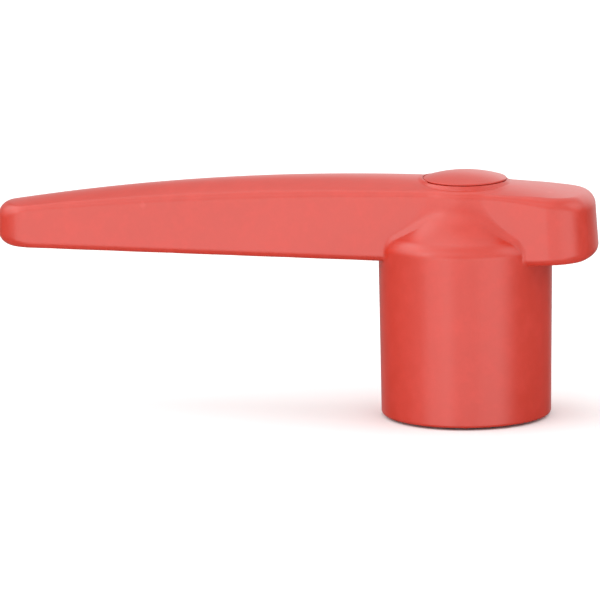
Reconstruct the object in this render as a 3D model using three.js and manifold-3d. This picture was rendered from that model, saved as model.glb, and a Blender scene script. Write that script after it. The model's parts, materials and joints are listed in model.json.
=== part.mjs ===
// The operating lever of a marine battery isolator switch: a red moulded lever whose hollow hub turns
// a quarter turn on a sealed neck, and drives the switch behind the panel through a square spindle.
// Millimetres, +Z up. The origin is on the turning axis, in the plane of the panel. The arm points
// along -X, where it stands when the switch is off.
import * as THREE from "three";
import { LoftGeometry } from "three/addons/geometries/LoftGeometry.js";
import { mergeVertices } from "three/addons/utils/BufferGeometryUtils.js";
import Module from "manifold-3d";

const wasm = await Module();
wasm.setup();

const TAU = 2 * Math.PI;
const { lerp, clamp, degToRad } = THREE.MathUtils;

// ---------------------------------------------------------------- driving dimensions
const TIP_REACH = 86.5; // axis to the tip of the arm
const TAIL_REACH = 24.1; // axis to the end of the tail
const TIP_HALF_WIDTH = 5.8;
const HUB_HALF_WIDTH = 9.35;
const TAIL_HALF_WIDTH = 9.7;
const ARM_BOTTOM = 29; // underside of the arm above the panel
const CROWN_PEAK = 14.3; // greatest thickness of the arm
const CROWN_PEAK_X = -12;
const SIDE_DRAFT = Math.tan(degToRad(2));
const TAIL_END_LEAN = Math.tan(degToRad(4));
const TAIL_LIFT = 0.04; // how the underside of the tail rises to its end
const BOTTOM_FILLET = 1.2;
const TOP_FILLET = 1.0;

const HUB_FOOT = 0.4; // running gap between the hub and the panel
const HUB_FOOT_RADIUS = 15.3;
const HUB_TOP_RADIUS = 15.65;
const SHOULDER = 32.88; // where the rounded edge of the hub passes into the flare above it
const SHOULDER_RADIUS = 14.9;
const SHOULDER_ROUND = 0.8;
const FLARE = [13, 11.5]; // radii of the hollow curve from the shoulder up to the top of the arm
const FLARE_CENTRE = 42.4; // height of that curve's centre
const FLARE_TOP_RADIUS = 9.2;
const FLARE_TOP = 41.8;
const FLARE_TOP_ROUND = 0.9;
const CAP_SEAT = 42.9;
const CAP_RADIUS = 7.5;
const CAP_BOSS_RADIUS = 7.7; // the low step that carries the cap

const SKIRT_FOOT_BORE = 13.15; // inside of the hub at its foot
const SKIRT_ROOF_BORE = 12.95;
const HUB_ROOF = 30.4;
const CORE_RADIUS = 7.8; // the boss inside the hub that holds the drive insert
const CORE_FOOT = 14.9;
const HUB_RIBS = 6;
const HUB_RIB_FOOT = 16.5;
const RIB = 1.6;
const WALL = 2.3;
const POCKET_CELLS = 6; // coring cells along the arm's underside
const POCKET_START = -81.5;
const POCKET_END = -18.2;

const COUNTERBORE_RADIUS = 6.25;
const COUNTERBORE_FLOOR = 36;
const SCREW_RADIUS = 2; // M4
const SQUARE = 7; // spindle square, across flats
const INSERT_HEX = 11; // drive insert, across flats
const INSERT_FOOT = 14.95;
const INSERT_TOP = 30.6;

const GASKET = 1; // thickness of the gasket on the panel
const DRUM_RADIUS = 12.5;
const DRUM_TOP = 9;
const SLEEVE_RADIUS = 8.2;
const SLEEVE_TOP = 13.2;
const BUSH_SEAT = 9.6;
const BUSH_RADIUS = 6.2;
const JOURNAL_RADIUS = 5; // spindle where it turns in the neck
const COLLAR_POCKET_RADIUS = 7.2;
const COLLAR_POCKET_TOP = 7;
const FIXING_CIRCLE_RADIUS = 10; // three M3 inserts in the underside of the neck
const FIXINGS = 3;
const FIXING_START = degToRad(20);
const INSERT_RADIUS = 2;
const SKIRT_SEAL_Z = 6.9;
const SPINDLE_SEAL_Z = 8.35;

const TURN = degToRad(90); // off to on, between the stops
const STOP_FINGER_ANGLE = Math.PI; // the lever's stop finger lies under the arm
const STOP_SPREAD = degToRad(22); // angle that the finger takes up, and each of the neck's two stop posts
const STOP_GAP = degToRad(1.5); // finger to post, at either end of the turn
const STOP_INNER_RADIUS = 9.9;
const STOP_POST_OUTER_RADIUS = 12.3;
const STOP_POST_TOP = 13.2;
const STOP_FINGER_FOOT = 9.8;

const FIT = 0.12; // gap between pieces that touch or press together
const EXTRA = 1; // how far a cutting tool runs past the face it cuts

// ---------------------------------------------------------------- solids
function solidOf(geometry) {
  const bare = new THREE.BufferGeometry().copy(geometry);
  bare.deleteAttribute("normal");
  bare.deleteAttribute("uv");
  const merged = mergeVertices(bare, 1e-4);
  const mesh = new wasm.Mesh({
    numProp: 3,
    vertProperties: new Float32Array(merged.attributes.position.array),
    triVerts: new Uint32Array(merged.index.array),
  });
  return new wasm.Manifold(mesh);
}

function geometryOf(solid) {
  const mesh = solid.getMesh();
  const geometry = new THREE.BufferGeometry();
  geometry.setAttribute("position", new THREE.BufferAttribute(mesh.vertProperties, 3));
  geometry.setIndex(new THREE.BufferAttribute(mesh.triVerts, 1));
  geometry.computeVertexNormals();
  return geometry;
}

// A profile of [radius, height] points, from the foot up, turned about the Z axis.
function turned(profile, segments = 48) {
  const points = profile.map(([radius, height]) => new THREE.Vector2(radius, height));
  return new THREE.LatheGeometry(points, segments).rotateX(Math.PI / 2);
}

function disc(radius, foot, top, segments = 48) {
  return turned([[0, foot], [radius, foot], [radius, top], [0, top]], segments);
}

function ring(inner, outer, foot, top, segments = 48) {
  return turned([[inner, foot], [outer, foot], [outer, top], [inner, top], [inner, foot]], segments);
}

// Points of an elliptical arc in [radius, height], without its first point.
function arc(centre, radii, from, to, steps) {
  return Array.from({ length: steps }, (_, i) => {
    const angle = lerp(from, to, (i + 1) / steps);
    return [centre[0] + radii[0] * Math.cos(angle), centre[1] + radii[1] * Math.sin(angle)];
  });
}

function torus(radius, thickness, height, segments = 40) {
  const section = arc([radius, height], [thickness, thickness], 0, TAU, 10);
  return turned([section[9], ...section], segments);
}

// A prism on a flat outline, from foot to top.
function prism(shape, foot, top) {
  const geometry = new THREE.ExtrudeGeometry(shape, { depth: top - foot, bevelEnabled: false });
  return geometry.translate(0, 0, foot);
}

function polygon(sides, acrossFlats, turn = 0) {
  const corner = acrossFlats / 2 / Math.cos(Math.PI / sides);
  const points = Array.from({ length: sides }, (_, i) => {
    const angle = (TAU * (i + 0.5)) / sides + turn;
    return new THREE.Vector2(corner * Math.cos(angle), corner * Math.sin(angle));
  });
  return new THREE.Shape(points);
}

function box(low, high) {
  const size = high.map((h, i) => h - low[i]);
  const geometry = new THREE.BoxGeometry(...size);
  return geometry.translate(...low.map((l, i) => l + size[i] / 2));
}

// A block with radial sides, so that two of them meet face to face when one turns against the other.
function sectorBlock(angle, spread, inner, outer, foot, top) {
  const corners = [[inner, -0.5], [outer, -0.5], [outer, 0.5], [inner, 0.5]];
  const outline = corners.map(([radius, share]) => {
    const at = angle + share * spread;
    return new THREE.Vector2(radius * Math.cos(at), radius * Math.sin(at));
  });
  return prism(new THREE.Shape(outline), foot, top);
}

// A block that stands on a radius, from inner to outer, its width across the radius.
function radialBlock(angle, inner, outer, width, foot, top) {
  return box([inner, -width / 2, foot], [outer, width / 2, top]).rotateZ(angle);
}

// ---------------------------------------------------------------- the arm's shape
function halfWidth(x) {
  const end = x < 0 ? [TIP_HALF_WIDTH, -x / TIP_REACH] : [TAIL_HALF_WIDTH, x / TAIL_REACH];
  return lerp(HUB_HALF_WIDTH, ...end);
}

// Thickness of the arm on its centre line, a long flat arch that peaks beside the hub.
function crownHeight(x) {
  const bend = x < CROWN_PEAK_X ? 0.00123 : 0.002;
  return CROWN_PEAK - bend * (x - CROWN_PEAK_X) ** 2;
}

// How far the centre line stands above the top edges: most at mid arm, and almost flat at the tail's end.
function crownRise(x) {
  return 2.35 * (1 - ((x + 36) / 62) ** 2);
}

// How far an end rounded off over this length draws in, at a distance from the end.
function endRound(distance, length, depth = length) {
  const inside = clamp(1 - distance / length, 0, 1);
  return depth * (1 - Math.sqrt(1 - inside ** 2));
}

// One closed section of the arm across X, in from every outer face by inset.
function armSection(x, inset = 0) {
  const tip = x + TIP_REACH;
  const tail = TAIL_REACH - x;
  const side = halfWidth(x) - endRound(tip, 4.7) - endRound(tail, 4.5, 8) - inset;
  const top = crownHeight(x) - endRound(tip, 2) - endRound(tail, 2.6) - inset;
  const edge = top - crownRise(x);
  const foot = inset ? -EXTRA : endRound(tip, 2.6) + endRound(tail, 1.8) + TAIL_LIFT * Math.max(0, x - 12);
  const lowRound = inset ? 0.2 : Math.min(BOTTOM_FILLET, side / 2);
  const highRound = Math.min(TOP_FILLET * (1 + clamp(x / TAIL_REACH, 0, 1)), side / 2);
  const topSide = side - SIDE_DRAFT * edge;
  const half = [[side - lowRound, foot]];
  half.push(...arc([side - lowRound, foot + lowRound], [lowRound, lowRound], -Math.PI / 2, 0, 3));
  const highCentre = [topSide - highRound, edge - highRound * 0.8];
  half.push(...arc(highCentre, [highRound, highRound], 0, Math.PI * 0.36, 3));
  const [startY, startZ] = half.at(-1);
  for (const share of [0.3, 0.65]) {
    half.push([startY * (1 - share), startZ + (top - startZ) * (1 - (1 - share) ** 2)]);
  }
  const lean = TAIL_END_LEAN * clamp((x - 12) / (TAIL_REACH - 12), 0, 1);
  const outline = [...half, [0, top], ...half.toReversed().map(([y, z]) => [-y, z])];
  return outline.map(([y, z]) => new THREE.Vector3(x - lean * Math.max(z, 0), y, ARM_BOTTOM + z));
}

// Places of the sections between two ends, closer together where an end is rounded.
function stations(from, to, ends) {
  const even = Array.from({ length: 13 }, (_, i) => lerp(from, to, i / 12));
  if (!ends) return even;
  const closer = [0.25, 0.9, 1.9, 3.2];
  const tip = closer.map((d) => from + d);
  const tail = closer.slice(0, 3).map((d) => to - d).reverse();
  return [from, ...tip, ...even.slice(1, -1), ...tail, to];
}

function armLoft(from, to, inset = 0) {
  const sections = stations(from, to, inset === 0).map((x) => armSection(x, inset));
  return new LoftGeometry(sections, { capStart: true, capEnd: true });
}

// ---------------------------------------------------------------- lever handle
function hubOutside() {
  const edgeTurn = Math.acos(1 - (HUB_TOP_RADIUS - SHOULDER_RADIUS) / SHOULDER_ROUND);
  const edge = [HUB_TOP_RADIUS - SHOULDER_ROUND, SHOULDER - SHOULDER_ROUND * Math.sin(edgeTurn)];
  const flareMiddle = [FLARE_TOP_RADIUS + FLARE[0], FLARE_CENTRE];
  const flareStart = -Math.acos((SHOULDER_RADIUS - flareMiddle[0]) / FLARE[0]);
  const top = [FLARE_TOP_RADIUS - FLARE_TOP_ROUND, FLARE_TOP - FLARE_TOP_ROUND];
  const flareTurn = Math.asin((FLARE_CENTRE - top[1]) / FLARE[1]);
  return turned([
    [0, HUB_FOOT],
    [HUB_FOOT_RADIUS - 0.5, HUB_FOOT],
    [HUB_FOOT_RADIUS, HUB_FOOT + 0.5],
    [HUB_TOP_RADIUS, edge[1]],
    ...arc(edge, [SHOULDER_ROUND, SHOULDER_ROUND], 0, edgeTurn, 3),
    ...arc(flareMiddle, FLARE, flareStart, flareTurn - Math.PI, 7),
    ...arc(top, [FLARE_TOP_ROUND, FLARE_TOP_ROUND], 0, Math.PI / 2, 3),
    [CAP_BOSS_RADIUS, FLARE_TOP],
    [CAP_BOSS_RADIUS, CAP_SEAT],
    [0, CAP_SEAT],
  ], 64);
}

function hubHollow() {
  return turned([
    [0, HUB_FOOT - EXTRA],
    [SKIRT_FOOT_BORE, HUB_FOOT - EXTRA],
    [SKIRT_FOOT_BORE, HUB_FOOT],
    [SKIRT_ROOF_BORE, HUB_ROOF],
    [0, HUB_ROOF],
  ], 64);
}

// The core, its ribs and the stop finger, all hanging from the hub's roof inside the hollow.
function hubInside() {
  let inside = solidOf(disc(CORE_RADIUS, CORE_FOOT, HUB_ROOF + EXTRA));
  const wallMiddle = SKIRT_ROOF_BORE + WALL / 2;
  for (let i = 0; i < HUB_RIBS; i++) {
    const rib = radialBlock((TAU * i) / HUB_RIBS, 2, wallMiddle, RIB, HUB_RIB_FOOT, HUB_ROOF + EXTRA);
    inside = inside.add(solidOf(rib));
  }
  const finger = [STOP_INNER_RADIUS, wallMiddle, STOP_FINGER_FOOT, HUB_ROOF + EXTRA];
  return inside.add(solidOf(sectorBlock(STOP_FINGER_ANGLE, STOP_SPREAD, ...finger)));
}

// Coring pockets in the underside, in two rows beside a spine, with ribs between the cells.
function armPockets() {
  const within = solidOf(armLoft(POCKET_START, TAIL_REACH - WALL, WALL));
  const cell = (POCKET_END - POCKET_START) / POCKET_CELLS;
  const deep = ARM_BOTTOM + CROWN_PEAK;
  const cells = [];
  for (let i = 0; i < POCKET_CELLS; i++) {
    const from = POCKET_START + i * cell;
    cells.push([from, from + cell - RIB]);
  }
  cells.push([HUB_TOP_RADIUS + 0.2, TAIL_REACH - WALL]);
  const rows = cells.flatMap(([from, to]) => [
    solidOf(box([from, RIB / 2, ARM_BOTTOM - EXTRA], [to, HUB_HALF_WIDTH, deep])),
    solidOf(box([from, -HUB_HALF_WIDTH, ARM_BOTTOM - EXTRA], [to, -RIB / 2, deep])),
  ]);
  return rows.reduce((sum, row) => sum.add(row)).intersect(within);
}

function leverHandle() {
  const screwHole = disc(SCREW_RADIUS + 0.3, INSERT_TOP - EXTRA, COUNTERBORE_FLOOR + EXTRA, 32);
  const socket = prism(polygon(6, INSERT_HEX + 2 * FIT), CORE_FOOT - EXTRA, INSERT_TOP + FIT);
  return solidOf(armLoft(-TIP_REACH, TAIL_REACH))
    .add(solidOf(hubOutside()))
    .subtract(solidOf(hubHollow()))
    .subtract(armPockets())
    .add(hubInside())
    .subtract(solidOf(disc(CAP_RADIUS + FIT, CAP_SEAT, CAP_SEAT + 2, 64)))
    .subtract(solidOf(disc(COUNTERBORE_RADIUS, COUNTERBORE_FLOOR, CAP_SEAT + EXTRA, 40)))
    .subtract(solidOf(screwHole))
    .subtract(solidOf(socket));
}

// ---------------------------------------------------------------- cap, screw and washers
function screwCap() {
  const seat = CAP_SEAT + 0.05;
  const skirt = COUNTERBORE_RADIUS - FIT;
  const skirtFoot = seat - 3.2;
  const inner = 5.1;
  const cap = turned([
    [0, seat + 0.1],
    [inner, seat + 0.1],
    [inner, skirtFoot],
    [skirt - 0.4, skirtFoot],
    [skirt, skirtFoot + 0.6],
    [skirt, seat],
    [CAP_RADIUS, seat],
    [CAP_RADIUS, seat + 0.3],
    ...Array.from({ length: 5 }, (_, i) => {
      const out = CAP_RADIUS * (1 - (i + 1) / 6);
      return [out, seat + 0.3 + 1.2 * (1 - (out / CAP_RADIUS) ** 2)];
    }),
    [0, seat + 1.5],
  ], 48);
  let solid = solidOf(cap);
  for (let i = 0; i < 2; i++) {
    const slot = radialBlock(degToRad(45 + 90 * i), -7, 7, 1.4, skirtFoot - EXTRA, seat - 0.6);
    solid = solid.subtract(solidOf(slot));
  }
  return solid;
}

function clampScrew() {
  const seat = COUNTERBORE_FLOOR + 2.15;
  const head = 4;
  const headHeight = 2.9;
  const screw = turned([
    [0, seat - 24.5],
    [SCREW_RADIUS - 0.5, seat - 24.5],
    [SCREW_RADIUS, seat - 24],
    [SCREW_RADIUS, seat],
    [head, seat],
    [head, seat + 1.2],
    ...arc([0, seat + 1.2], [head, headHeight - 1.2], 0, Math.PI / 2, 5).slice(0, -1),
    [0, seat + headHeight],
  ], 32);
  const blade = box([-2.1, -0.45, seat + 1.1], [2.1, 0.45, seat + headHeight + EXTRA]);
  return solidOf(screw)
    .subtract(solidOf(blade))
    .subtract(solidOf(blade.clone().rotateZ(Math.PI / 2)));
}

// A split ring whose ends stand apart, along the turn of a helix.
function springWasher() {
  const foot = COUNTERBORE_FLOOR + 1.15;
  const steps = 36;
  const sections = Array.from({ length: steps + 1 }, (_, i) => {
    const angle = degToRad(lerp(5, 350, i / steps));
    const lift = foot + 0.12 * (i / steps);
    const corners = [[2.2, lift], [2.2, lift + 0.8], [3.7, lift + 0.8], [3.7, lift]];
    return corners.map(([r, z]) => new THREE.Vector3(r * Math.cos(angle), r * Math.sin(angle), z));
  });
  return solidOf(new LoftGeometry(sections, { capStart: true, capEnd: true }));
}

const flatWasher = () => solidOf(ring(2.2, 6, COUNTERBORE_FLOOR + 0.05, COUNTERBORE_FLOOR + 1.05, 40));

// ---------------------------------------------------------------- drive
function driveInsert() {
  const outline = polygon(6, INSERT_HEX);
  outline.holes.push(polygon(4, SQUARE + 2 * FIT));
  return solidOf(prism(outline, INSERT_FOOT, INSERT_TOP));
}

function driveSpindle() {
  const collarFoot = 4.4;
  const grooveHalf = 0.65;
  const shaft = turned([
    [0, collarFoot],
    [6.6, collarFoot],
    [6.6, 6.2],
    [JOURNAL_RADIUS, 6.2],
    [JOURNAL_RADIUS, SPINDLE_SEAL_Z - grooveHalf],
    [4.15, SPINDLE_SEAL_Z - grooveHalf],
    [4.15, SPINDLE_SEAL_Z + grooveHalf],
    [JOURNAL_RADIUS, SPINDLE_SEAL_Z + grooveHalf],
    [JOURNAL_RADIUS, CORE_FOOT - 0.05],
    [0, CORE_FOOT - 0.05],
  ]);
  const tang = box([-1.5, -4.75, 0], [1.5, 4.75, collarFoot + EXTRA]);
  return solidOf(shaft)
    .add(solidOf(prism(polygon(4, SQUARE), CORE_FOOT - EXTRA, 30.2)))
    .add(solidOf(tang))
    .subtract(solidOf(disc(SCREW_RADIUS + FIT, 12, 30.2 + EXTRA, 32)));
}

const spindleSeal = () => solidOf(torus(4.65, 0.45, SPINDLE_SEAL_Z));
const washerBore = JOURNAL_RADIUS + 0.15;
const upperThrustWasher = () => solidOf(ring(washerBore, 7.7, SLEEVE_TOP + 1.05, CORE_FOOT - 0.05));
const lowerThrustWasher = () => solidOf(ring(washerBore, 6.9, 6.25, COLLAR_POCKET_TOP - 0.05));

// ---------------------------------------------------------------- neck
const fixingAngles = Array.from({ length: FIXINGS }, (_, i) => FIXING_START + (TAU * i) / FIXINGS);

function fixingBlank(angle, geometry) {
  const reach = [FIXING_CIRCLE_RADIUS * Math.cos(angle), FIXING_CIRCLE_RADIUS * Math.sin(angle)];
  return geometry.translate(...reach, 0);
}

function mountingNeck() {
  const groove = 1;
  const body = turned([
    [0, GASKET],
    [DRUM_RADIUS, GASKET],
    [DRUM_RADIUS, SKIRT_SEAL_Z - groove],
    [11.2, SKIRT_SEAL_Z - groove],
    [11.2, SKIRT_SEAL_Z + groove],
    [DRUM_RADIUS, SKIRT_SEAL_Z + groove],
    [DRUM_RADIUS, DRUM_TOP - 0.3],
    [DRUM_RADIUS - 0.3, DRUM_TOP],
    [SLEEVE_RADIUS, DRUM_TOP],
    [SLEEVE_RADIUS, SLEEVE_TOP],
    [0, SLEEVE_TOP],
  ]);
  const bore = turned([
    [0, GASKET - EXTRA],
    [COLLAR_POCKET_RADIUS, GASKET - EXTRA],
    [COLLAR_POCKET_RADIUS, COLLAR_POCKET_TOP],
    [JOURNAL_RADIUS + 0.15, COLLAR_POCKET_TOP],
    [JOURNAL_RADIUS + 0.15, BUSH_SEAT],
    [BUSH_RADIUS + FIT, BUSH_SEAT],
    [BUSH_RADIUS + FIT, SLEEVE_TOP + EXTRA],
    [0, SLEEVE_TOP + EXTRA],
  ]);
  const apart = STOP_SPREAD + STOP_GAP;
  const posts = [STOP_FINGER_ANGLE + apart, STOP_FINGER_ANGLE - TURN - apart].map((angle) => {
    const block = [STOP_INNER_RADIUS, STOP_POST_OUTER_RADIUS, DRUM_TOP - EXTRA, STOP_POST_TOP];
    return solidOf(sectorBlock(angle, STOP_SPREAD, ...block));
  });
  const holes = fixingAngles.map((angle) =>
    solidOf(fixingBlank(angle, disc(INSERT_RADIUS + FIT, GASKET - EXTRA, 5.4, 24))),
  );
  const neck = posts.reduce((sum, post) => sum.add(post), solidOf(body));
  return holes.reduce((rest, hole) => rest.subtract(hole), neck.subtract(solidOf(bore)));
}

function bearingBush() {
  const bore = JOURNAL_RADIUS + 0.06;
  return solidOf(turned([
    [bore, BUSH_SEAT + 0.1],
    [BUSH_RADIUS, BUSH_SEAT + 0.1],
    [BUSH_RADIUS, SLEEVE_TOP + 0.05],
    [8, SLEEVE_TOP + 0.05],
    [8, SLEEVE_TOP + 1],
    [bore, SLEEVE_TOP + 1],
    [bore, BUSH_SEAT + 0.1],
  ]));
}

const neckSeal = () => solidOf(torus(12.1, 0.85, SKIRT_SEAL_Z, 48));

function panelGasket() {
  const gasket = solidOf(ring(7.8, DRUM_RADIUS, 0, GASKET - 0.05));
  const hole = disc(1.7, -EXTRA, GASKET + EXTRA, 24);
  const holes = fixingAngles.map((angle) => solidOf(fixingBlank(angle, hole.clone())));
  return holes.reduce((rest, hole) => rest.subtract(hole), gasket);
}

function threadedInsert(angle) {
  const top = 5.2;
  const middle = (GASKET + top) / 2;
  const profile = [
    [1.25, GASKET + 0.1],
    [INSERT_RADIUS, GASKET + 0.1],
    [INSERT_RADIUS, middle - 0.4],
    [INSERT_RADIUS - 0.35, middle - 0.4],
    [INSERT_RADIUS - 0.35, middle + 0.4],
    [INSERT_RADIUS, middle + 0.4],
    [INSERT_RADIUS, top],
    [1.25, top],
    [1.25, GASKET + 0.1],
  ];
  return solidOf(fixingBlank(angle, turned(profile, 24)));
}

// ---------------------------------------------------------------- materials and assembly
function finish(color, roughness, metalness) {
  return new THREE.MeshStandardMaterial({ color, roughness, metalness });
}

const red = finish(0xd6352a, 0.42, 0);
const black = finish(0x1d1e20, 0.6, 0);
const rubber = finish(0x141414, 0.85, 0);
const steel = finish(0xc9ccd0, 0.3, 1);
const brass = finish(0xc79a4b, 0.32, 1);
const bronze = finish(0xa8743e, 0.45, 1);
const acetal = finish(0xeeeae0, 0.5, 0);

const lever = new THREE.Group();

function place(name, solid, material) {
  const mesh = new THREE.Mesh(geometryOf(solid), material);
  mesh.name = name;
  lever.add(mesh);
}

place("lever_handle", leverHandle(), red);
place("screw_cap", screwCap(), red);
place("clamp_screw", clampScrew(), steel);
place("spring_washer", springWasher(), steel);
place("flat_washer", flatWasher(), steel);
place("drive_insert", driveInsert(), brass);
place("drive_spindle", driveSpindle(), steel);
place("spindle_o_ring", spindleSeal(), rubber);
place("upper_thrust_washer", upperThrustWasher(), acetal);
place("lower_thrust_washer", lowerThrustWasher(), acetal);
place("mounting_neck", mountingNeck(), black);
place("bearing_bush", bearingBush(), bronze);
place("skirt_o_ring", neckSeal(), rubber);
place("panel_gasket", panelGasket(), rubber);
fixingAngles.forEach((angle, i) => place(`threaded_insert_${i + 1}`, threadedInsert(angle), brass));

export default lever;
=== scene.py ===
"""The looks of the battery switch lever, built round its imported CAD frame.

Pieces are shaped in millimetres, in the row frame, and made into meshes in metres. Most are carved as a
field of distances (negative inside the solid) that is then turned into a mesh, so that moulded edges
and blends are rounded as in the real part. Rings are turned from a profile.
"""
import json
import math

import bmesh
import bpy
import numpy as np
from mathutils import Matrix, Vector


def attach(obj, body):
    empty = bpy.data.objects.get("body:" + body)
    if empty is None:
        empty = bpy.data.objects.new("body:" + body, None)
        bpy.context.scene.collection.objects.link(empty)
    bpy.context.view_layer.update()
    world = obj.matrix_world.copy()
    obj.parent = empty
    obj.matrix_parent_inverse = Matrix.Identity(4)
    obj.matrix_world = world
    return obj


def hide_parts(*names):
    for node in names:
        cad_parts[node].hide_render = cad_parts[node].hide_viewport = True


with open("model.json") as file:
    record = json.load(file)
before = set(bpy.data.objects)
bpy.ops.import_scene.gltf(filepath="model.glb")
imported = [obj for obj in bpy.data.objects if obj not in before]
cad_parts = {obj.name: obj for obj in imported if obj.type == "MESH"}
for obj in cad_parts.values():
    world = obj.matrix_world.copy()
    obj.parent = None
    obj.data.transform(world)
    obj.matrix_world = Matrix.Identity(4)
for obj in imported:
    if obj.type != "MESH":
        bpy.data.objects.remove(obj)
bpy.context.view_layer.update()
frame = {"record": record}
MM = 0.001

# ------------------------------------------------------------------ sizes, in mm, as in the CAD
# PLUG is the cap's part inside the counterbore, and FIXING one of the inserts under the neck
TIP_REACH, TAIL_REACH = 86.5, 24.1
TIP_HALF, HUB_HALF, TAIL_HALF = 5.8, 9.35, 9.7
TIP_CORNER, TAIL_CORNER, TAIL_BOW = 5.5, 5.0, 0.022
ARM_BOTTOM, TAIL_LIFT, TAIL_LIFT_START = 29.0, 0.04, 12
CROWN_PEAK, CROWN_PEAK_X = 14.3, -12.0
CROWN_BEND_TO_TIP, CROWN_BEND_TO_TAIL = 0.00123, 0.002
CROWN_RISE, CROWN_RISE_X, CROWN_RISE_SPAN = 2.35, -36, 62
SIDE_DRAFT, END_LEAN = math.tan(math.radians(2)), math.tan(math.radians(4))
HUB_FOOT, HUB_FOOT_RADIUS, HUB_TOP_RADIUS, HUB_TAPER_HEIGHT = 0.4, 15.3, 15.65, 32
FLARE_RADIUS, FLARE_CENTRE, FLARE_TOP = 22.2, 42.4, 41.8
FLARE_WIDE, FLARE_TALL = 13.0, 11.5
SHOULDER_ROUND, FLARE_TOP_ROUND = 1.5, 0.9
CAP_SEAT, CAP_RADIUS, CAP_BOSS = 42.9, 7.5, 7.7
BORE_FOOT, BORE_ROOF, BORE_TAPER_HEIGHT, HUB_ROOF = 13.15, 12.95, 30, 30.4
CORE_RADIUS, CORE_FOOT, RIB_FOOT = 7.8, 14.9, 16.5
RIB, WALL = 1.6, 2.3
CELLS_START, CELLS_END, CELL_COUNT = -81.5, -18.2, 6
COUNTERBORE, COUNTERBORE_FLOOR = 6.25, 36.0
SCREW_HOLE = 2.3
PLUG_OUTER, PLUG_INNER, PLUG_DEPTH = 6.13, 5.1, 3.2
CAP_SPLIT = 0.05
SCREW_SEAT = COUNTERBORE_FLOOR + 2.15
SCREW_RADIUS, SCREW_PITCH, SCREW_LENGTH, HEAD_RADIUS = 2.0, 0.7, 24.5, 4.0
HEXAGON, HEXAGON_SOCKET = 11.0, 11.24
SQUARE, SQUARE_BORE = 7.0, 7.24
SPINDLE_TOP, COLLAR_RADIUS, JOURNAL_RADIUS = 30.2, 6.6, 5.0
GASKET, NECK_RADIUS, NECK_TOP, SLEEVE_TOP = 1.0, 12.5, 9.0, 13.2
SKIRT_SEAL_HEIGHT, SPINDLE_SEAL_HEIGHT = 6.9, 8.35
FIXING_CIRCLE, FIXING_RADIUS, FIXING_FOOT, FIXING_TOP = 10, 2, 1.1, 5.2
FIXING_ANGLES = [math.radians(20 + 120 * i) for i in range(3)]
SPREAD, STOP_GAP, STOP_INNER = math.radians(22), math.radians(1.5), 9.9


# ------------------------------------------------------------------ fields of distances
def both(a, b, r=0.0):
    """Where a and b overlap, with the edge between them rounded to r."""
    if np.isscalar(r) and r == 0:
        return np.maximum(a, b)
    return np.minimum(np.maximum(a, b), -r) + np.hypot(np.maximum(a + r, 0), np.maximum(b + r, 0))


def either(a, b, r=0.0):
    """a and b joined, with the corner between them filled to r."""
    return -both(-a, -b, r)


def cut(a, b, r=0.0):
    """a with b taken away."""
    return both(a, -b, r)


def ramp(x, start, end):
    """A smooth step from 0 at start to 1 at end."""
    t = np.clip((x - start) / (end - start), 0, 1)
    return t * t * (3 - 2 * t)


def turn(x, y, angle):
    """The place seen from axes that are turned by the angle."""
    c, s = math.cos(angle), math.sin(angle)
    return x * c + y * s, y * c - x * s


def across_flats(x, y, sides, width):
    """A prism on a regular outline, with one flat facing +X."""
    step = 2 * math.pi / sides
    faces = [turn(x, y, step * i)[0] for i in range(sides)]
    return np.maximum.reduce(np.broadcast_arrays(*faces)) - width / 2


def sector(x, y, angle, spread, inner, outer):
    """A block with radial sides between two radii."""
    u, v = turn(x, y, angle)
    r = np.hypot(u, v)
    side = np.abs(v) * math.cos(spread / 2) - u * math.sin(spread / 2)
    return np.maximum(np.maximum(inner - r, r - outer), side)


# ------------------------------------------------------------------ a field made into a mesh
HALVINGS = 9  # how often the search for a cut point halves its stretch of grid edge
CENTRING = 0.06  # how strongly a vertex is held to the middle of its cut points
FACE_SHRINK = 0.3  # how far inside its own face a corner's normal is read


def slope(field, p, reach=0.004):
    """The unit direction in which the field grows, at each point."""
    n = np.empty_like(p)
    for axis in range(3):
        shift = np.zeros(3)
        shift[axis] = reach
        n[:, axis] = field(*(p + shift).T) - field(*(p - shift).T)
    return n / np.maximum(np.linalg.norm(n, axis=1, keepdims=True), 1e-12)


def crossings(field, values, axes, axis, step):
    """Grid edges along one axis that the surface cuts: their corner, the cut point and its normal."""
    solid = values < 0
    lower = [slice(None)] * 3
    upper = [slice(None)] * 3
    lower[axis], upper[axis] = slice(0, -1), slice(1, None)
    corner = np.argwhere(solid[tuple(lower)] != solid[tuple(upper)])
    start = np.stack([axes[k][corner[:, k]] for k in range(3)], 1)
    along = np.zeros(3)
    along[axis] = step
    near, far = np.zeros(len(corner)), np.ones(len(corner))
    low = values[tuple(lower)][tuple(corner.T)].astype(float)
    inside = low < 0
    for _ in range(HALVINGS):
        middle = (near + far) / 2
        same = (field(*(start + middle[:, None] * along).T) < 0) == inside
        near, far = np.where(same, middle, near), np.where(same, far, middle)
    point = start + ((near + far) / 2)[:, None] * along
    return corner, inside, point, slope(field, point)


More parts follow.
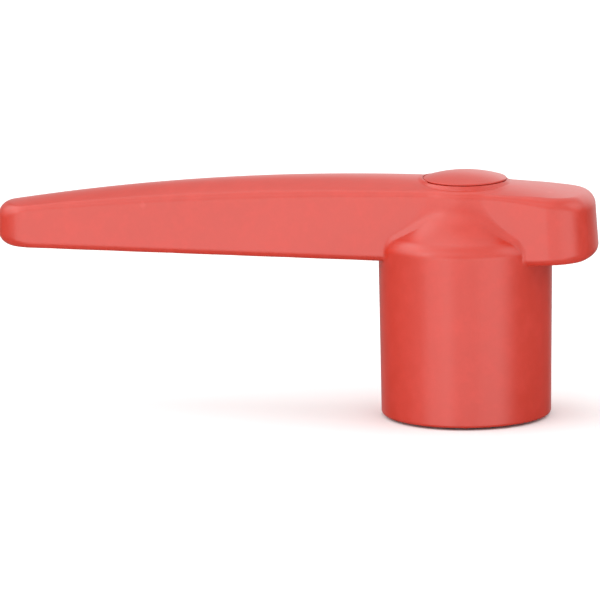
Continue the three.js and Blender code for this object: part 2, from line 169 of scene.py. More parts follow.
def contour(field, low, high, step):
    """Dual contouring: one vertex in each grid cell that the surface crosses, set where the tangent
    planes found in that cell meet, so that edges stay crisp and curved faces stay smooth."""
    axes = [np.arange(lo - 1.37 * step, hi + 1.9 * step, step) for lo, hi in zip(low, high)]
    shape = tuple(len(a) for a in axes)
    grid = np.meshgrid(*axes, indexing="ij", sparse=True)
    values = np.broadcast_to(field(*grid), shape)
    cells, points, normals, quads = [], [], [], []
    for axis in range(3):
        corner, inside, point, normal = crossings(field, values, axes, axis, step)
        u, v = (axis + 1) % 3, (axis + 2) % 3
        ring = []
        for du, dv in ((0, 0), (-1, 0), (-1, -1), (0, -1)):
            cell = corner.copy()
            cell[:, u] += du
            cell[:, v] += dv
            ring.append(np.ravel_multi_index(cell.T, shape))
        ring = np.stack(ring, 1)
        quads.append(np.where(inside[:, None], ring, ring[:, ::-1]))
        cells.append(ring.ravel())
        points.append(np.repeat(point, 4, 0))
        normals.append(np.repeat(normal, 4, 0))
    quads = np.concatenate(quads)
    used, index = np.unique(np.concatenate(cells), return_inverse=True)
    index = index.ravel()
    points, normals = np.concatenate(points), np.concatenate(normals)
    count = np.bincount(index).astype(float)
    middle = np.stack([np.bincount(index, points[:, k]) for k in range(3)], 1) / count[:, None]
    reach = ((points - middle[index]) * normals).sum(1)
    pairs = [[np.bincount(index, normals[:, a] * normals[:, b]) for b in range(3)] for a in range(3)]
    square = np.transpose(np.array(pairs), (2, 0, 1)) + CENTRING * count[:, None, None] * np.eye(3)
    pull = np.stack([np.bincount(index, normals[:, k] * reach) for k in range(3)], 1)
    vertex = middle + np.linalg.solve(square, pull[:, :, None])[:, :, 0]
    place = np.stack(np.unravel_index(used, shape), 1)
    base = np.stack([axes[k][place[:, k]] for k in range(3)], 1)
    vertex = np.clip(vertex, base, base + step)
    return vertex, np.searchsorted(used, quads)


def mesh_object(name, vertex, faces, loop_normals=None):
    """An object from vertices in mm and faces that all have the same number of sides."""
    mesh = bpy.data.meshes.new(name)
    mesh.vertices.add(len(vertex))
    mesh.vertices.foreach_set("co", (np.asarray(vertex) * MM).astype(np.float32).ravel())
    sides = faces.shape[1]
    mesh.loops.add(faces.size)
    mesh.loops.foreach_set("vertex_index", faces.astype(np.int32).ravel())
    mesh.polygons.add(len(faces))
    mesh.polygons.foreach_set("loop_start", np.arange(0, faces.size, sides, dtype=np.int32))
    mesh.update(calc_edges=True)
    mesh.polygons.foreach_set("use_smooth", np.ones(len(faces), bool))
    if loop_normals is not None:
        mesh.normals_split_custom_set(loop_normals.astype(np.float32))
    obj = bpy.data.objects.new(name, mesh)
    bpy.context.scene.collection.objects.link(obj)
    return obj


def carve(name, field, low, high, step):
    """A mesh of the field, with each corner's normal read from the field just inside its own face."""
    vertex, faces = contour(field, low, high, step)
    corners = vertex[faces]
    centre = corners.mean(1, keepdims=True)
    inner = (corners + FACE_SHRINK * (centre - corners)).reshape(-1, 3)
    return mesh_object(name, vertex, faces, slope(field, inner, 0.01))


def rounded_profile(points, radius, steps=4):
    """A closed profile of [radius, height] corners with each corner rounded."""
    corners = [np.array(p, float) for p in points]
    out = []
    for i, here in enumerate(corners):
        before, after = corners[i - 1], corners[(i + 1) % len(corners)]
        back, forth = before - here, after - here
        lb, lf = np.linalg.norm(back), np.linalg.norm(forth)
        r = min(radius, 0.45 * lb, 0.45 * lf)
        a, b = here + back / lb * r, here + forth / lf * r
        for k in range(steps + 1):
            t = k / steps
            out.append((1 - t) ** 2 * a + 2 * t * (1 - t) * here + t ** 2 * b)
    return np.array(out)


def spin(name, points, radius, segments=144):
    """A closed profile, counterclockwise in [radius, height], turned about the axis."""
    profile = rounded_profile(points, radius)
    n = len(profile)
    angle = np.arange(segments) * 2 * math.pi / segments
    x = np.cos(angle)[:, None] * profile[:, 0]
    y = np.sin(angle)[:, None] * profile[:, 0]
    z = np.broadcast_to(profile[:, 1], x.shape)
    vertex = np.stack([x, y, z], 2).reshape(-1, 3)
    i, j = np.meshgrid(np.arange(segments), np.arange(n), indexing="ij")
    i2, j2 = (i + 1) % segments, (j + 1) % n
    faces = np.stack([i * n + j, i2 * n + j, i2 * n + j2, i * n + j2], 2).reshape(-1, 4)
    return mesh_object(name, vertex, faces)


# ------------------------------------------------------------------ lever handle
def half_width(x):
    """Half the arm's width at its bottom: narrowest at the tip, a little wider past the hub."""
    return np.where(x < 0, HUB_HALF + (TIP_HALF - HUB_HALF) * -x / TIP_REACH,
                    HUB_HALF + (TAIL_HALF - HUB_HALF) * x / TAIL_REACH)


def crown_height(x):
    """The height of the arm's ridge over its bottom."""
    bend = np.where(x < CROWN_PEAK_X, CROWN_BEND_TO_TIP, CROWN_BEND_TO_TAIL)
    return CROWN_PEAK - bend * (x - CROWN_PEAK_X) ** 2


def crown_rise(x):
    """How far the ridge stands over the top's side edges."""
    return CROWN_RISE * (1 - ((x - CROWN_RISE_X) / CROWN_RISE_SPAN) ** 2)


def arm_sides_and_top(x, y, z):
    """The arm without its underside."""
    up = z - ARM_BOTTOM
    wide = half_width(x)
    side = np.abs(y) - wide + SIDE_DRAFT * up
    tip = -TIP_REACH - x
    tail = x + END_LEAN * up - TAIL_REACH + TAIL_BOW * y ** 2
    tail = tail / np.sqrt(1 + (2 * TAIL_BOW * y) ** 2)
    plan = both(both(side, tip, TIP_CORNER), tail, TAIL_CORNER)
    rise = crown_rise(x)
    top = up - crown_height(x) + rise * (y / wide) ** 2
    top = top / np.sqrt(1 + (2 * rise * y / wide ** 2) ** 2)
    radius = 0.8 + 1.3 * ramp(-x, 80, 85.5) + 1.5 * ramp(x, 6, 24)
    return both(plan, top, radius)


def arm_field(x, y, z):
    lift = TAIL_LIFT * np.maximum(x - TAIL_LIFT_START, 0)
    radius = 1.2 + 1.2 * ramp(-x, 79, 85.5) + 0.7 * ramp(x, 16, 24)
    return both(arm_sides_and_top(x, y, z), ARM_BOTTOM + lift - z, radius)


def hub_field(x, y, z):
    """The hub's outside: a tapered skirt, a flare up to the arm's top, and the step under the cap."""
    r = np.hypot(x, y)
    wall = r - HUB_FOOT_RADIUS - (HUB_TOP_RADIUS - HUB_FOOT_RADIUS) * (z - HUB_FOOT) / HUB_TAPER_HEIGHT
    p = np.minimum(r - FLARE_RADIUS, -1e-6), np.minimum(z - FLARE_CENTRE, -1e-6)
    scaled = np.hypot(p[0] / FLARE_WIDE, p[1] / FLARE_TALL)
    steep = np.hypot(p[0] / FLARE_WIDE ** 2, p[1] / FLARE_TALL ** 2)
    bell = -scaled * (scaled - 1) / steep
    flared = both(both(wall, bell, SHOULDER_ROUND), z - FLARE_TOP, FLARE_TOP_ROUND)
    boss = both(r - CAP_BOSS, z - CAP_SEAT, 0.2)
    return both(either(flared, boss, 0.5), HUB_FOOT - z, 0.5)


def pocket_field(x, y, z):
    """The coring cells under the arm, in two rows beside a spine, and two under the tail."""
    pitch = (CELLS_END - CELLS_START) / CELL_COUNT
    cell = np.clip(np.floor((x - CELLS_START) / pitch), 0, CELL_COUNT - 1)
    left = CELLS_START + cell * pitch
    arm = np.maximum(left - x, x - (left + pitch - RIB))
    tail = np.maximum(HUB_TOP_RADIUS + 0.2 - x, x - (TAIL_REACH - WALL))
    along = np.where(x < 0, arm, tail)
    cells = both(along, RIB / 2 - np.abs(y), 0.6)
    return both(cells, arm_sides_and_top(x, y, z) + WALL, 0.6)


def hub_hollow_field(x, y, z):
    """The space inside the hub, round its core, ribs and stop finger."""
    r = np.hypot(x, y)
    bore = r - BORE_FOOT + (BORE_FOOT - BORE_ROOF) * (z - HUB_FOOT) / BORE_TAPER_HEIGHT
    space = both(bore, z - HUB_ROOF, 0.8)
    inside = both(r - CORE_RADIUS, CORE_FOOT - z, 0.4)
    for i in range(3):
        _, v = turn(x, y, math.pi / 3 * i)
        inside = either(inside, both(np.abs(v) - RIB / 2, RIB_FOOT - z, 0.3), 0.3)
    finger = both(sector(x, y, math.pi, SPREAD, STOP_INNER, 15.0), 9.8 - z, 0.3)
    return cut(space, either(inside, finger, 0.3), 0.3)


def lever_field(x, y, z):
    r = np.hypot(x, y)
    blend = 0.35 + 0.6 * ramp(z, 31, 34)
    solid = either(arm_field(x, y, z), hub_field(x, y, z), blend)
    solid = cut(solid, hub_hollow_field(x, y, z), 0.4)
    solid = cut(solid, pocket_field(x, y, z), 0.3)
    seat = both(r - CAP_RADIUS - 0.08, CAP_SEAT - z, 0.1)
    solid = cut(solid, seat, 0.12)
    solid = cut(solid, both(r - COUNTERBORE, COUNTERBORE_FLOOR - z, 0.3), 0.35)
    solid = cut(solid, r - SCREW_HOLE + 0 * z)
    socket = both(across_flats(x, y, 6, HEXAGON_SOCKET) + 0 * z, z - 30.72)
    return cut(solid, socket, 0.25)


# ------------------------------------------------------------------ pieces in the hub
def cap_field(x, y, z):
    """A shallow dome with a slotted plug that presses into the counterbore."""
    r = np.hypot(x, y)
    seat = CAP_SEAT + CAP_SPLIT
    foot = seat - PLUG_DEPTH
    dome = z - (seat + 0.3) - 1.2 * (1 - (r / CAP_RADIUS) ** 2)
    dome = dome / np.sqrt(1 + (2.4 * r / CAP_RADIUS ** 2) ** 2)
    head = both(both(dome, seat - z), r - CAP_RADIUS, 0.12)
    plug = both(both(r - PLUG_OUTER, PLUG_INNER - r), both(foot - z, z - seat - 0.5), 0.15)
    lead = (r - PLUG_OUTER + 0.6 * (foot + 0.9 - z)) / 1.17
    plug = both(plug, lead, 0.1)
    for i in range(2):
        _, v = turn(x, y, math.radians(45 + 90 * i))
        plug = cut(plug, both(np.abs(v) - 0.7, z - seat + 0.6, 0.2), 0.1)
    head = cut(head, both(r - PLUG_INNER, z - seat - 0.1, 0.1))
    return either(head, plug, 0.1)


def thread(x, y, z, radius, pitch, depth):
    """How far a helical thread takes the surface in from its outer radius."""
    lap = (z / pitch - np.arctan2(y, x) / (2 * math.pi)) % 1.0
    return np.hypot(x, y) - radius + depth * np.abs(2 * lap - 1)


def screw_field(x, y, z):
    """A pan head screw with a cross recess."""
    r = np.hypot(x, y)
    seat = SCREW_SEAT
    shank = both(thread(x, y, z, SCREW_RADIUS, SCREW_PITCH, 0.42), z - seat + 0.9)
    shank = either(shank, both(r - 1.72, z - seat - 0.5), 0.1)
    shank = both(shank, (r - 1.9 + (seat - 24.1 - z) * 0.9) / 1.35)
    shank = both(shank, seat - SCREW_LENGTH - z, 0.1)
    ball = np.hypot(r / HEAD_RADIUS, np.maximum(z - seat - 1.2, 0) / 1.7) - 1
    head = both(both(ball * 1.7, seat - z, 0.12), r - HEAD_RADIUS, 0.1)
    wide, long = 0.42, 2.05
    cross = np.minimum(both(np.abs(x) - wide, np.abs(y) - long), both(np.abs(y) - wide, np.abs(x) - long))
    taper = r - 0.9 - 0.75 * np.maximum(z - seat - 0.9, 0)
    recess = both(np.minimum(cross, taper), seat + 1.1 - z, 0.05)
    return cut(either(shank, head, 0.15), recess, 0.08)


def insert_field(x, y, z):
    """The moulded-in hexagon with its square bore, broached and chamfered."""
    outline = across_flats(x, y, 6, HEXAGON)
    solid = both(outline + 0 * z, np.maximum(14.95 - z, z - 30.6), 0.25)
    square = across_flats(x, y, 4, SQUARE_BORE)
    return cut(solid, square + 0 * z, 0.2)


def spindle_field(x, y, z):
    """From below: the flat tang, the collar, the grooved journal and the square, with a tapped end."""
    r = np.hypot(x, y)
    collar = both(r - COLLAR_RADIUS, np.maximum(4.4 - z, z - 6.2), 0.25)
    journal = both(r - JOURNAL_RADIUS, np.maximum(5.0 - z, z - 14.85), 0.2)
    groove = both(4.15 - r, np.abs(z - SPINDLE_SEAL_HEIGHT) - 0.65, 0.12)
    journal = cut(journal, groove, 0.08)
    square = both(across_flats(x, y, 4, SQUARE) + 0 * z, np.maximum(13.0 - z, z - SPINDLE_TOP), 0.3)
    tang = both(np.abs(x) - 1.5, np.abs(y) - 4.75, 0.3)
    tang = both(tang, np.maximum(-z, z - 5.4), 0.25)
    solid = either(either(collar, journal, 0.15), either(square, tang))
    hole = both(thread(x, y, z, 2.12, SCREW_PITCH, 0.3), 12.0 - z)
    return cut(solid, hole, 0.05)


def fixing_place(angle):
    """The middle of one of the three screw holes under the neck."""
    return FIXING_CIRCLE * math.cos(angle), FIXING_CIRCLE * math.sin(angle)


def neck_field(x, y, z):
    """A drum with a seal groove, a sleeve for the bush and two stop posts."""
    r = np.hypot(x, y)
    drum = both(r - NECK_RADIUS, np.maximum(GASKET - z, z - NECK_TOP), 0.3)
    drum = cut(drum, both(11.2 - r, np.abs(z - SKIRT_SEAL_HEIGHT) - 1.0, 0.2), 0.12)
    sleeve = both(r - 8.2, np.maximum(5.0 - z, z - SLEEVE_TOP), 0.2)
    solid = either(drum, sleeve, 0.5)
    for angle in (math.pi + SPREAD + STOP_GAP, math.pi / 2 - SPREAD - STOP_GAP):
        block = sector(x, y, angle, SPREAD, STOP_INNER, 12.2)
        post = both(block, np.maximum(8.0 - z, z - SLEEVE_TOP), 0.25)
        solid = either(solid, post, 0.25)
    solid = cut(solid, both(r - 7.2, z - 7.0, 0.3), 0.2)
    solid = cut(solid, r - 5.15 + 0 * z)
    solid = cut(solid, both(r - 6.32, 9.6 - z), 0.1)
    for angle in FIXING_ANGLES:
        cx, cy = fixing_place(angle)
        solid = cut(solid, both(np.hypot(x - cx, y - cy) - 2.12, z - 5.4, 0.2), 0.12)
    return solid


def gasket_field(x, y, z):
    r = np.hypot(x, y)
    solid = both(both(r - NECK_RADIUS, 7.8 - r), np.maximum(-z, z - 0.95), 0.15)
    for angle in FIXING_ANGLES:
        cx, cy = fixing_place(angle)
        solid = cut(solid, np.hypot(x - cx, y - cy) - 1.7 + 0 * z, 0.1)
    return solid


def fixing_field(angle):
    """A heat-set insert: two knurled bands with a groove between, and a threaded bore."""
    cx, cy = fixing_place(angle)

    def field(x, y, z):
        u, v = x - cx, y - cy
        r = np.hypot(u, v)
        around = np.arctan2(v, u) * 18 / (2 * math.pi)
        knurl = 0.12 * np.abs(2 * ((around + 0.7 * np.sign(z - 3.1) * z) % 1.0) - 1)
        ends = np.maximum(FIXING_FOOT - z, z - FIXING_TOP)
        band = both(r - FIXING_RADIUS + knurl, ends, 0.12)
        band = cut(band, both(1.65 - r, np.abs(z - 3.1) - 0.4), 0.05)
        return cut(band, thread(u, v, z, 1.5, 0.5, 0.25))

    return field


def spring_washer():
    """A split ring whose ends stand apart along the turn of a helix."""
    foot = COUNTERBORE_FLOOR + 1.15
    section = rounded_profile([[2.2, 0], [3.7, 0], [3.7, 0.8], [2.2, 0.8]], 0.12, 3)
    steps, n = 160, len(section)
    vertex = []
    for i in range(steps + 1):
        angle = math.radians(5 + 345 * i / steps)
        lift = foot + 0.12 * i / steps
        vertex += [[p[0] * math.cos(angle), p[0] * math.sin(angle), p[1] + lift] for p in section]
    faces = []
    for i in range(steps):
        for j in range(n):
            k = (j + 1) % n
            faces.append([i * n + j, (i + 1) * n + j, (i + 1) * n + k, i * n + k])
    obj = mesh_object("spring_washer_piece", np.array(vertex), np.array(faces))
    bm = bmesh.new()
    bm.from_mesh(obj.data)
    bmesh.ops.holes_fill(bm, edges=[e for e in bm.edges if e.is_boundary])
    bm.to_mesh(obj.data)
    bm.free()
    return obj


# ------------------------------------------------------------------ materials
# No roughness goes below 0.285. A surface whose roughness crosses about 0.27 is left with dark specks
# by the noise filter of a render.
def new_material(name):
    """The material, its shader, and the place on the object in mm."""
    mat = bpy.data.materials.new(name)
    mat.use_nodes = True
    nodes, links = mat.node_tree.nodes, mat.node_tree.links
    shader = nodes["Principled BSDF"]
    place = nodes.new("ShaderNodeTexCoord")
    scale = nodes.new("ShaderNodeVectorMath")
    scale.operation = "SCALE"
    scale.inputs["Scale"].default_value = 1 / MM
    links.new(place.outputs["Object"], scale.inputs[0])
    return mat, shader, scale.outputs[0]


def noise(mat, where, size, detail=3.0, roughness=0.5, stretch=(1, 1, 1)):
    """Noise whose grains are size mm across."""
    nodes, links = mat.node_tree.nodes, mat.node_tree.links
    squeeze = nodes.new("ShaderNodeVectorMath")
    squeeze.operation = "DIVIDE"
    squeeze.inputs[1].default_value = [size * s for s in stretch]
    links.new(where, squeeze.inputs[0])
    tex = nodes.new("ShaderNodeTexNoise")
    tex.inputs["Scale"].default_value = 1.0
    tex.inputs["Detail"].default_value = detail
    tex.inputs["Roughness"].default_value = roughness
    links.new(squeeze.outputs[0], tex.inputs["Vector"])
    return tex.outputs["Fac"]


def spread(mat, value, low, high, start=0.3, end=0.7):
    """The value's stretch from start to end, spread from low to high."""
    node = mat.node_tree.nodes.new("ShaderNodeMapRange")
    node.inputs["From Min"].default_value = start
    node.inputs["From Max"].default_value = end
    node.inputs["To Min"].default_value = low
    node.inputs["To Max"].default_value = high
    mat.node_tree.links.new(value, node.inputs["Value"])
    return node.outputs["Result"]


def mix(mat, factor, first, second):
    """A colour between the first and the second, each a socket or a plain colour."""
    node = mat.node_tree.nodes.new("ShaderNodeMix")
    node.data_type = "RGBA"
    mat.node_tree.links.new(factor, node.inputs["Factor"])
    for socket, colour in ((node.inputs["A"], first), (node.inputs["B"], second)):
        if isinstance(colour, tuple):
            socket.default_value = (*colour, 1)
        else:
            mat.node_tree.links.new(colour, socket)
    return node.outputs["Result"]


def bump(mat, shader, layers):
    """Bump layers of (height socket, depth in mm), one after the other."""
    last = None
    for height, depth in layers:
        node = mat.node_tree.nodes.new("ShaderNodeBump")
        node.inputs["Distance"].default_value = depth * MM
        node.inputs["Strength"].default_value = 1.0
        mat.node_tree.links.new(height, node.inputs["Height"])
        if last is not None:
            mat.node_tree.links.new(last, node.inputs["Normal"])
        last = node.outputs["Normal"]
    mat.node_tree.links.new(last, shader.inputs["Normal"])


def edges(mat, low=0.52, high=0.62):
    """Close to 1 on worn outer edges, from how the mesh curves."""
    geometry = mat.node_tree.nodes.new("ShaderNodeNewGeometry")
    return spread(mat, geometry.outputs["Pointiness"], 0, 1, low, high)


def red_plastic():
    """Satin moulded nylon: slow flow marks, a faint haze, a fine spark-eroded grain and rubbed edges."""
    mat, shader, where = new_material("red_moulding")
    link = mat.node_tree.links.new
    flow = noise(mat, where, 16, 4, 0.6, (1.8, 1, 1))
    haze = noise(mat, where, 3.2, 5, 0.65)
    body = mix(mat, spread(mat, flow, 0, 1), (0.545, 0.033, 0.016), (0.51, 0.029, 0.013))
    pale = mix(mat, spread(mat, haze, 0, 0.35, 0.45, 0.75), body, (0.66, 0.045, 0.028))
    worn = mix(mat, spread(mat, edges(mat), 0, 0.3, 0, 1), pale, (0.68, 0.08, 0.06))
    link(worn, shader.inputs["Base Color"])
    link(spread(mat, haze, 0.285, 0.335), shader.inputs["Roughness"])
    shader.inputs["Specular IOR Level"].default_value = 0.75
    grain = noise(mat, where, 0.6, 2, 0.5)
    peel = noise(mat, where, 2.4, 2, 0.5)
    bump(mat, shader, [(peel, 0.012), (grain, 0.0022)])
    return mat


def black_nylon():
    """Glass-filled nylon: short pale fibres in the skin, matt and slightly streaked."""
    mat, shader, where = new_material("black_nylon")
    link = mat.node_tree.links.new
    fibres = noise(mat, where, 0.3, 3, 0.7, (1, 3, 1))
    streak = noise(mat, where, 5, 3, 0.5)
    skin = mix(mat, spread(mat, streak, 0, 1), (0.022, 0.022, 0.024), (0.034, 0.034, 0.036))
    body = mix(mat, spread(mat, fibres, 0, 0.5, 0.6, 0.75), skin, (0.10, 0.10, 0.10))
    link(body, shader.inputs["Base Color"])
    link(spread(mat, streak, 0.5, 0.66), shader.inputs["Roughness"])
    bump(mat, shader, [(fibres, 0.012)])
    return mat


def acetal():
    """Milky white plastic with a slow cloud in it."""
    mat, shader, where = new_material("acetal")
    link = mat.node_tree.links.new
    cloud = noise(mat, where, 4, 3)
    body = mix(mat, spread(mat, cloud, 0, 1), (0.80, 0.78, 0.71), (0.86, 0.84, 0.78))
    link(body, shader.inputs["Base Color"])
    link(spread(mat, cloud, 0.34, 0.46), shader.inputs["Roughness"])
    bump(mat, shader, [(noise(mat, where, 0.25, 2), 0.004)])
    return mat


def seal_rubber():
    """Black rubber with a grey bloom."""
    mat, shader, where = new_material("seal_rubber")
    link = mat.node_tree.links.new
    bloom = noise(mat, where, 2.5, 4, 0.6)
    body = mix(mat, spread(mat, bloom, 0, 1), (0.013, 0.013, 0.014), (0.034, 0.033, 0.032))
    link(body, shader.inputs["Base Color"])
    link(spread(mat, bloom, 0.62, 0.8), shader.inputs["Roughness"])
    bump(mat, shader, [(noise(mat, where, 0.18, 2), 0.01)])
    return mat


def turned_metal(name, light, dark, low, high):
    """Turned metal: fine rings round the axis, with tarnish in slow clouds."""
    mat, shader, where = new_material(name)
    link = mat.node_tree.links.new
    rings = noise(mat, where, 1.0, 3, 0.6, (9, 9, 0.09))
    tarnish = noise(mat, where, 3.5, 4, 0.6)
    link(mix(mat, spread(mat, tarnish, 0, 1), dark, light), shader.inputs["Base Color"])
    shader.inputs["Metallic"].default_value = 1.0
    link(spread(mat, rings, low, high), shader.inputs["Roughness"])
    bump(mat, shader, [(rings, 0.004)])
    return mat


STEEL = (0.66, 0.66, 0.66), (0.54, 0.54, 0.55)
BRASS = (0.78, 0.56, 0.22), (0.62, 0.42, 0.15)
BRONZE = (0.58, 0.35, 0.16), (0.44, 0.25, 0.11)
MATERIALS = {
    "red_moulding": red_plastic(),
    "black_nylon": black_nylon(),
    "acetal": acetal(),
    "seal_rubber": seal_rubber(),
    "stainless_steel": turned_metal("stainless_steel", *STEEL, 0.29, 0.4),
    "brass": turned_metal("brass", *BRASS, 0.29, 0.42),
    "bronze": turned_metal("bronze", *BRONZE, 0.35, 0.5),
}
SLOT_OF = {s["node"]: s["material_slot"] for s in frame["record"]["subparts"]}
BODY_OF = {n: body for body, ns in frame["record"]["behaviour"]["bodies"].items() for n in ns}


def stand_for(obj, node):
    """obj is the visible piece for that CAD node, with its body and its material."""
    obj.data.materials.clear()
    obj.data.materials.append(MATERIALS[SLOT_OF[node]])
    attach(obj, BODY_OF[node])
    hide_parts(node)
    return obj


def ring_points(inner, outer, foot, top):
    """The profile of a flat ring."""
    return [[inner, foot], [outer, foot], [outer, top], [inner, top]]


def seal_points(radius, thickness, height, corners=16):
    """The round profile of an O-ring. thickness is half the cord's."""
    angles = [2 * math.pi * i / corners for i in range(corners)]
    return [[radius + thickness * math.cos(a), height + thickness * math.sin(a)] for a in angles]


# each carved piece: its node, its field, the lowest and highest corner of the box it is carved in, and
# the step of the grid, all in mm
CARVED = [
    ("lever_handle", lever_field, (-TIP_REACH, -15.7, HUB_FOOT), (TAIL_REACH, 15.7, 43.4),
     0.46),
    ("screw_cap", cap_field, (-CAP_RADIUS, -CAP_RADIUS, CAP_SEAT - PLUG_DEPTH),
     (CAP_RADIUS, CAP_RADIUS, CAP_SEAT + 1.6), 0.11),
    ("clamp_screw", screw_field, (-HEAD_RADIUS, -HEAD_RADIUS, 13.6),
     (HEAD_RADIUS, HEAD_RADIUS, 41.1), 0.14),
    ("drive_insert", insert_field, (-6.4, -6.4, 14.9), (6.4, 6.4, 30.6), 0.28),
    ("drive_spindle", spindle_field, (-COLLAR_RADIUS, -COLLAR_RADIUS, 0),
     (COLLAR_RADIUS, COLLAR_RADIUS, SPINDLE_TOP), 0.22),
    ("mounting_neck", neck_field, (-NECK_RADIUS, -NECK_RADIUS, GASKET),
     (NECK_RADIUS, NECK_RADIUS, SLEEVE_TOP), 0.3),
    ("panel_gasket", gasket_field, (-NECK_RADIUS, -NECK_RADIUS, 0), (NECK_RADIUS, NECK_RADIUS, 0.95), 0.19),
]
BUSH_PROFILE = [[5.06, 9.7], [6.2, 9.7], [6.2, 13.25], [8, 13.25], [8, 14.2], [5.06, 14.2]]
# each turned piece: its node, its profile in [radius, height], and the round of the profile's corners
TURNED = [
    ("skirt_o_ring", seal_points(12.1, 0.85, SKIRT_SEAL_HEIGHT), 0.1),
    ("spindle_o_ring", seal_points(4.65, 0.45, SPINDLE_SEAL_HEIGHT), 0.1),
    ("upper_thrust_washer", ring_points(5.15, 7.7, 14.25, 14.85), 0.15),
    ("lower_thrust_washer", ring_points(5.15, 6.9, 6.25, 6.95), 0.15),
    ("flat_washer", ring_points(2.2, 6.0, 36.05, 37.05), 0.12),
    ("bearing_bush", BUSH_PROFILE, 0.2),
]
FIXING_STEP = 0.1


def build_pieces():
    for node, field, low, high, step in CARVED:
        stand_for(carve(f"{node}_piece", field, low, high, step), node)
    for i, angle in enumerate(FIXING_ANGLES):
        node = f"threaded_insert_{i + 1}"
        x, y = fixing_place(angle)
        low = (x - FIXING_RADIUS, y - FIXING_RADIUS, FIXING_FOOT)
        high = (x + FIXING_RADIUS, y + FIXING_RADIUS, FIXING_TOP)
        stand_for(carve(f"{node}_piece", fixing_field(angle), low, high, FIXING_STEP), node)
    for node, profile, radius in TURNED:
        stand_for(spin(f"{node}_piece", profile, radius), node)
    stand_for(spring_washer(), "spring_washer")


build_pieces()


# ------------------------------------------------------------------ stage, light and camera
VIEW_POINT = (-31, 0, 22)  # below the arm's middle, in mm
VIEW_AZIMUTH, VIEW_ELEVATION, VIEW_ROLL = 12.67, 10.85, 0.65
VIEW_SPAN, VIEW_CENTRE = 108.6, (0.45, -2.09)
LENS, SENSOR = 400, 36
FLOOR_HALF, FLOOR_DROP = 6.0, 0.00005  # in metres
ROOM_LIGHT, LOW_ROOM_LIGHT = 0.3, 0.1
DIM_BELOW, FULL_ABOVE = -0.15, 0.1  # heights on a sphere of directions between which the room dims
# soft lights as azimuth from the front, elevation, the angle to which each is full and where it ends,
# all in degrees, then strength
SOFT_LIGHTS = [
    (-150, -6, 8, 28, 0.2),
    (-75, -6, 8, 26, 0.12),
    (-50, -6, 8, 26, 0.4),
    (-25, -6, 8, 28, 1.65),
    (0, -6, 8, 28, 1.05),
    (25, -6, 8, 28, 0.75),
    (45, -6, 8, 28, 1.2),
    (62, -6, 6, 22, 0.95),
    (175, 10, 8, 28, 0.8),
    (-135, 32, 8, 30, 0.15),
    (-90, 32, 8, 30, 1.05),
    (-112, 36, 6, 22, 0.8),
    (-50, 26, 3, 16, 1.2),
    (-60, 32, 8, 30, 1.0),
    (-30, 32, 8, 30, 0.95),
    (0, 32, 8, 30, 0.3),
    (30, 32, 8, 30, 0.6),
    (60, 32, 8, 30, 0.3),
    (90, 32, 8, 30, 1.3),
    (135, 32, 8, 30, 0.8),
    (180, 32, 8, 30, 0.3),
    (-10, 48, 6, 24, 0.3),
    (0, 65, 8, 32, 0.5),
    (90, 65, 8, 32, 0.55),
    (180, 65, 8, 32, 0.75),
    (-90, 65, 8, 32, 1.25),
]


def toward(azimuth, elevation):
    """The unit direction at an azimuth from the front, counted to the right, and an elevation."""
    level = math.cos(elevation)
    return math.sin(azimuth) * level, -math.cos(azimuth) * level, math.sin(elevation)


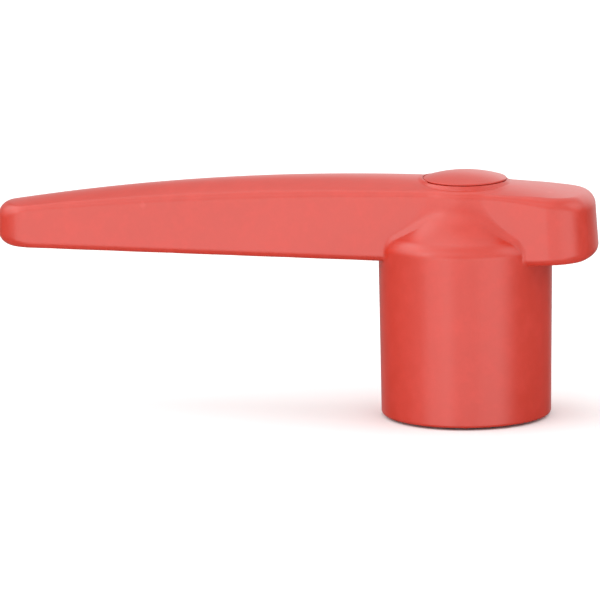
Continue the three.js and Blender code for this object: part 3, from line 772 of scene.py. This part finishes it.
def studio():
    """A white floor that runs far past the view, in an even room that is dimmer low down, with the
    soft lights added to it. The camera sees the room itself as plain white."""
    mesh = bpy.data.meshes.new("floor")
    size = FLOOR_HALF
    corners = [(-size, -size, 0), (size, -size, 0), (size, size, 0), (-size, size, 0)]
    mesh.from_pydata(corners, [], [(0, 1, 2, 3)])
    floor = bpy.data.objects.new("floor", mesh)
    bpy.context.scene.collection.objects.link(floor)
    floor.location.z = -FLOOR_DROP
    mat, shader, _ = new_material("floor_paint")
    shader.inputs["Base Color"].default_value = (0.97, 0.97, 0.97, 1)
    shader.inputs["Roughness"].default_value = 0.9
    shader.inputs["Specular IOR Level"].default_value = 0.0
    floor.data.materials.append(mat)
    floor.visible_glossy = False

    world = bpy.data.worlds.new("studio")
    world.use_nodes = True
    bpy.context.scene.world = world
    nodes, links = world.node_tree.nodes, world.node_tree.links
    background = nodes["Background"]
    background.inputs["Color"].default_value = (1, 1, 1, 1)
    place = nodes.new("ShaderNodeTexCoord")
    height = nodes.new("ShaderNodeSeparateXYZ")
    links.new(place.outputs["Generated"], height.inputs[0])
    room = nodes.new("ShaderNodeMapRange")
    room.interpolation_type = "SMOOTHSTEP"
    room.inputs["From Min"].default_value = DIM_BELOW
    room.inputs["From Max"].default_value = FULL_ABOVE
    room.inputs["To Min"].default_value = LOW_ROOM_LIGHT
    room.inputs["To Max"].default_value = ROOM_LIGHT
    links.new(height.outputs["Z"], room.inputs["Value"])
    total = room.outputs["Result"]
    for azimuth, elevation, inner, outer, strength in SOFT_LIGHTS:
        a, e = math.radians(azimuth), math.radians(elevation)
        dot = nodes.new("ShaderNodeVectorMath")
        dot.operation = "DOT_PRODUCT"
        dot.inputs[1].default_value = toward(a, e)
        links.new(place.outputs["Generated"], dot.inputs[0])
        fade = nodes.new("ShaderNodeMapRange")
        fade.interpolation_type = "SMOOTHSTEP"
        fade.inputs["From Min"].default_value = math.cos(math.radians(outer))
        fade.inputs["From Max"].default_value = math.cos(math.radians(inner))
        fade.inputs["To Min"].default_value = 0
        fade.inputs["To Max"].default_value = strength
        links.new(dot.outputs["Value"], fade.inputs["Value"])
        add = nodes.new("ShaderNodeMath")
        add.operation = "ADD"
        links.new(fade.outputs["Result"], add.inputs[0])
        links.new(total, add.inputs[1])
        total = add.outputs[0]
    seen = nodes.new("ShaderNodeLightPath")
    plain = nodes.new("ShaderNodeMix")
    links.new(seen.outputs["Is Camera Ray"], plain.inputs["Factor"])
    links.new(total, plain.inputs["A"])
    plain.inputs["B"].default_value = 1.0
    links.new(plain.outputs["Result"], background.inputs["Strength"])


def aim_camera(azimuth, elevation, roll, span, centre):
    """A long lens at the picture's viewing angle. span is how many mm the picture is wide, and centre
    is how far right of and above VIEW_POINT the picture's middle lies, in mm."""
    a, e, r = (math.radians(v) for v in (azimuth, elevation, roll))
    level = Vector((math.cos(a), math.sin(a), 0))
    back = Vector(toward(a, e))
    above = back.cross(level)
    right = level * math.cos(r) - above * math.sin(r)
    up = level * math.sin(r) + above * math.cos(r)
    cam = bpy.data.cameras.new("camera")
    cam.lens, cam.sensor_width = LENS, SENSOR
    cam.clip_start, cam.clip_end = 0.01, 50
    obj = bpy.data.objects.new("camera", cam)
    bpy.context.scene.collection.objects.link(obj)
    aim = Vector(VIEW_POINT) + right * centre[0] + up * centre[1]
    place = (aim + back * span * cam.lens / cam.sensor_width) * MM
    axes = Matrix((right, up, back)).transposed().to_4x4()
    obj.matrix_world = Matrix.Translation(place) @ axes
    bpy.context.scene.camera = obj


studio()
aim_camera(VIEW_AZIMUTH, VIEW_ELEVATION, VIEW_ROLL, VIEW_SPAN, VIEW_CENTRE)
bpy.context.scene.view_settings.view_transform = "Standard"
bpy.context.scene.view_settings.look = "None"
